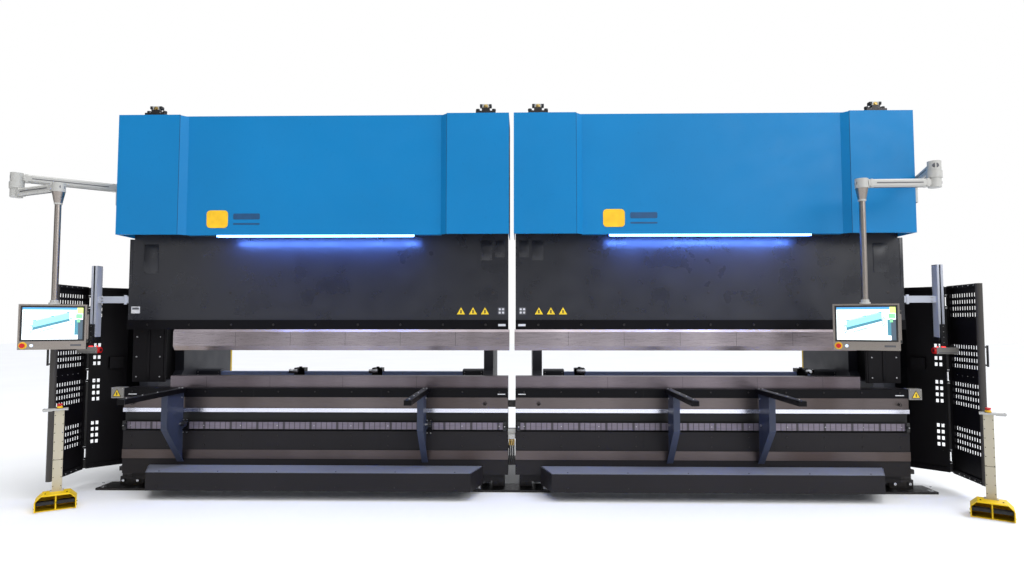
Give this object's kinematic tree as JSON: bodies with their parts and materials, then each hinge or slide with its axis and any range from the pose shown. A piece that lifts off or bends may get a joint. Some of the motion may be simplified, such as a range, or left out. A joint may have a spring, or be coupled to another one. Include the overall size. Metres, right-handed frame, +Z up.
{
  "type": "press brake",
  "caption": "Tandem hydraulic press brake: mirrored machines with rams, punch and die slots, back gauge, support arms, swing pendants, laser guards, side doors and foot pedals.",
  "frame": {"origin": "on the floor, at the centre of the four outermost floor anchor holes", "axes": "+X along the bed to the operator's right, +Y from the operator to the back, +Z up"},
  "size_m": [8.7717, 2.71, 3.687],
  "materials": {
    "anthracite_paint": "satin",
    "black_paint": "satin",
    "blue_paint": "semi-gloss",
    "ground_steel": "ground",
    "structural_steel": "satin",
    "tool_steel": "ground",
    "chrome_rod": "polished",
    "zinc_steel": "zinc plated",
    "black_plastic": "fine grain",
    "light_aluminium": "anodised",
    "light_plastic": "diffuser",
    "red_plastic": "gloss",
    "yellow_paint": "semi-gloss",
    "blue_grey_paint": "satin",
    "black_rubber": "ribbed"
  },
  "bodies": {
    "frame": {"side_frames": "structural_steel", "beds": "structural_steel", "floor_plates": "structural_steel", "bed_covers": "black_paint", "bed_faces": "ground_steel", "die_tables": "tool_steel", "cylinders": "anthracite_paint", "top_covers": "blue_paint", "work_lights": "light_plastic", "hydraulic_units": "anthracite_paint", "electrical_cabinets": "black_paint", "throat_covers": "black_paint", "gauge_rails": "zinc_steel", "side_guards": "black_paint", "pendant_brackets": "light_aluminium", "machine_links": "zinc_steel"},
    "left_ram_group": {"left_ram": "anthracite_paint", "left_upper_clamp": "tool_steel", "left_piston_rods": "chrome_rod", "left_laser_mast": "light_aluminium"},
    "left_laser": {"left_laser_head": "anthracite_paint"},
    "left_door": {"left_guard_door": "black_paint"},
    "left_carriage": {"left_gauge_carriage": "zinc_steel"},
    "left_beam": {"left_gauge_beam": "blue_grey_paint"},
    "left_finger_a": {"left_gauge_finger_a": "black_plastic"},
    "left_arm_a": {"left_support_arm_a": "blue_grey_paint"},
    "left_knob_a": {"left_clamp_knob_a": "black_plastic"},
    "left_finger_b": {"left_gauge_finger_b": "black_plastic"},
    "left_arm_b": {"left_support_arm_b": "blue_grey_paint"},
    "left_knob_b": {"left_clamp_knob_b": "black_plastic"},
    "left_shoulder": {"left_pendant_arm": "light_aluminium"},
    "left_elbow": {"left_pendant_forearm": "light_aluminium"},
    "left_panel": {"left_pendant_panel": "light_aluminium"},
    "left_stop": {"left_pendant_stop": "red_plastic"},
    "left_stand": {"left_pedal_stand": "yellow_paint"},
    "left_pedal_a": {"left_pedal_a": "black_rubber"},
    "left_pedal_b": {"left_pedal_b": "black_rubber"},
    "left_stand_button": {"left_stand_stop": "red_plastic"},
    "right_ram_group": {"right_ram": "anthracite_paint", "right_upper_clamp": "tool_steel", "right_piston_rods": "chrome_rod", "right_laser_mast": "light_aluminium"},
    "right_laser": {"right_laser_head": "anthracite_paint"},
    "right_door": {"right_guard_door": "black_paint"},
    "right_carriage": {"right_gauge_carriage": "zinc_steel"},
    "right_beam": {"right_gauge_beam": "blue_grey_paint"},
    "right_finger_a": {"right_gauge_finger_a": "black_plastic"},
    "right_arm_a": {"right_support_arm_a": "blue_grey_paint"},
    "right_knob_a": {"right_clamp_knob_a": "black_plastic"},
    "right_finger_b": {"right_gauge_finger_b": "black_plastic"},
    "right_arm_b": {"right_support_arm_b": "blue_grey_paint"},
    "right_knob_b": {"right_clamp_knob_b": "black_plastic"},
    "right_shoulder": {"right_pendant_arm": "light_aluminium"},
    "right_elbow": {"right_pendant_forearm": "light_aluminium"},
    "right_panel": {"right_pendant_panel": "light_aluminium"},
    "right_stop": {"right_pendant_stop": "red_plastic"},
    "right_stand": {"right_pedal_stand": "yellow_paint"},
    "right_pedal_a": {"right_pedal_a": "black_rubber"},
    "right_pedal_b": {"right_pedal_b": "black_rubber"},
    "right_stand_button": {"right_stand_stop": "red_plastic"}
  },
  "joints": [
    {"name": "left_ram_stroke", "type": "slide", "parent": "frame", "child": "left_ram_group", "axis": [0, 0, -1], "range_m": [0, 0.225]},
    {"name": "left_laser_height", "type": "slide", "parent": "left_ram_group", "child": "left_laser", "axis": [0, 0, 1], "range_m": [-0.05, 0.35]},
    {"name": "left_door_hinge", "type": "hinge", "parent": "frame", "child": "left_door", "pos_m": [-4.2, -0.56, 1], "axis": [0, 0, -1], "range_deg": [0, 95]},
    {"name": "left_gauge_depth", "type": "slide", "parent": "frame", "child": "left_carriage", "axis": [0, 1, 0], "range_m": [-0.5, 0.24]},
    {"name": "left_gauge_height", "type": "slide", "parent": "left_carriage", "child": "left_beam", "axis": [0, 0, 1], "range_m": [-0.14, 0]},
    {"name": "left_finger_a_travel", "type": "slide", "parent": "left_beam", "child": "left_finger_a", "axis": [1, 0, 0], "range_m": [-0.75, 0.3]},
    {"name": "left_arm_a_travel", "type": "slide", "parent": "frame", "child": "left_arm_a", "axis": [1, 0, 0], "range_m": [-0.4, 0.9]},
    {"name": "left_knob_a_turn", "type": "hinge", "parent": "left_arm_a", "child": "left_knob_a", "pos_m": [-3.08, -0.885, 0.64], "axis": [1, 0, 0], "range_deg": [0, 180]},
    {"name": "left_finger_b_travel", "type": "slide", "parent": "left_beam", "child": "left_finger_b", "axis": [1, 0, 0], "range_m": [-0.35, 0.75]},
    {"name": "left_arm_b_travel", "type": "slide", "parent": "frame", "child": "left_arm_b", "axis": [1, 0, 0], "range_m": [-1, 0.6]},
    {"name": "left_knob_b_turn", "type": "hinge", "parent": "left_arm_b", "child": "left_knob_b", "pos_m": [-0.8, -0.885, 0.64], "axis": [1, 0, 0], "range_deg": [0, 180]},
    {"name": "left_shoulder_swing", "type": "hinge", "parent": "frame", "child": "left_shoulder", "pos_m": [-3.85, -0.63, 2.892], "axis": [0, 0, 1], "range_deg": [-60, 8]},
    {"name": "left_elbow_swing", "type": "hinge", "parent": "left_shoulder", "child": "left_elbow", "pos_m": [-4.49793, -1.13258, 2.752], "axis": [0, 0, 1], "range_deg": [-60, 15]},
    {"name": "left_panel_swivel", "type": "hinge", "parent": "left_elbow", "child": "left_panel", "pos_m": [-3.94162, -1.35735, 2.7], "axis": [0, 0, 1], "range_deg": [-80, 80]},
    {"name": "left_pendant_stop_push", "type": "slide", "parent": "left_panel", "child": "left_stop", "axis": [-0.4226, 0.9063, 0], "range_m": [0, 0.006], "stiffness_N_per_m": 900},
    {"name": "left_stand_shift", "type": "slide", "parent": "frame", "child": "left_stand", "axis": [0, 1, 0], "range_m": [-0.25, 0.15]},
    {"name": "left_pedal_a_press", "type": "hinge", "parent": "left_stand", "child": "left_pedal_a", "pos_m": [-3.96032, -1.34691, 0.046], "axis": [0.829, 0.5592, 0], "range_deg": [0, 8], "stiffness_Nm_per_rad": 60, "springref_deg": -6.88},
    {"name": "left_pedal_b_press", "type": "hinge", "parent": "left_stand", "child": "left_pedal_b", "pos_m": [-3.83597, -1.26303, 0.046], "axis": [0.829, 0.5592, 0], "range_deg": [0, 8], "stiffness_Nm_per_rad": 60, "springref_deg": -6.88},
    {"name": "left_stand_stop_push", "type": "slide", "parent": "left_stand", "child": "left_stand_button", "axis": [0, 0, -1], "range_m": [0, 0.006], "stiffness_N_per_m": 900, "springref_m": -0.002},
    {"name": "right_ram_stroke", "type": "slide", "parent": "frame", "child": "right_ram_group", "axis": [0, 0, -1], "range_m": [0, 0.225]},
    {"name": "right_laser_height", "type": "slide", "parent": "right_ram_group", "child": "right_laser", "axis": [0, 0, 1], "range_m": [-0.05, 0.35]},
    {"name": "right_door_hinge", "type": "hinge", "parent": "frame", "child": "right_door", "pos_m": [4.2, -0.56, 1], "axis": [0, 0, 1], "range_deg": [0, 95]},
    {"name": "right_gauge_depth", "type": "slide", "parent": "frame", "child": "right_carriage", "axis": [0, 1, 0], "range_m": [-0.5, 0.24]},
    {"name": "right_gauge_height", "type": "slide", "parent": "right_carriage", "child": "right_beam", "axis": [0, 0, 1], "range_m": [-0.14, 0]},
    {"name": "right_finger_a_travel", "type": "slide", "parent": "right_beam", "child": "right_finger_a", "axis": [1, 0, 0], "range_m": [-0.05, 1]},
    {"name": "right_arm_a_travel", "type": "slide", "parent": "frame", "child": "right_arm_a", "axis": [1, 0, 0], "range_m": [-1.2, 0.3]},
    {"name": "right_knob_a_turn", "type": "hinge", "parent": "right_arm_a", "child": "right_knob_a", "pos_m": [1.45, -0.885, 0.64], "axis": [1, 0, 0], "range_deg": [0, 180]},
    {"name": "right_finger_b_travel", "type": "slide", "parent": "right_beam", "child": "right_finger_b", "axis": [1, 0, 0], "range_m": [-1.1, 0.02]},
    {"name": "right_arm_b_travel", "type": "slide", "parent": "frame", "child": "right_arm_b", "axis": [1, 0, 0], "range_m": [-0.3, 1.2]},
    {"name": "right_knob_b_turn", "type": "hinge", "parent": "right_arm_b", "child": "right_knob_b", "pos_m": [2.28, -0.885, 0.64], "axis": [1, 0, 0], "range_deg": [0, 180]},
    {"name": "right_shoulder_swing", "type": "hinge", "parent": "frame", "child": "right_shoulder", "pos_m": [3.85, -0.63, 2.892], "axis": [0, 0, -1], "range_deg": [-60, 0]},
    {"name": "right_elbow_swing", "type": "hinge", "parent": "right_shoulder", "child": "right_elbow", "pos_m": [3.57763, -1.40344, 2.752], "axis": [0, 0, -1], "range_deg": [-60, 15]},
    {"name": "right_panel_swivel", "type": "hinge", "parent": "right_elbow", "child": "right_panel", "pos_m": [2.97799, -1.3825, 2.7], "axis": [0, 0, 1], "range_deg": [-80, 80]},
    {"name": "right_pendant_stop_push", "type": "slide", "parent": "right_panel", "child": "right_stop", "axis": [0.4226, 0.9063, 0], "range_m": [0, 0.006], "stiffness_N_per_m": 900},
    {"name": "right_stand_shift", "type": "slide", "parent": "frame", "child": "right_stand", "axis": [0, 1, 0], "range_m": [-0.25, 0.15]},
    {"name": "right_pedal_a_press", "type": "hinge", "parent": "right_stand", "child": "right_pedal_a", "pos_m": [3.87697, -1.37203, 0.046], "axis": [0.829, -0.5592, 0], "range_deg": [0, 8], "stiffness_Nm_per_rad": 60, "springref_deg": -6.88},
    {"name": "right_pedal_b_press", "type": "hinge", "parent": "right_stand", "child": "right_pedal_b", "pos_m": [4.00132, -1.45591, 0.046], "axis": [0.829, -0.5592, 0], "range_deg": [0, 8], "stiffness_Nm_per_rad": 60, "springref_deg": -6.88},
    {"name": "right_stand_stop_push", "type": "slide", "parent": "right_stand", "child": "right_stand_button", "axis": [0, 0, -1], "range_m": [0, 0.006], "stiffness_N_per_m": 900, "springref_m": -0.002}
  ]
}
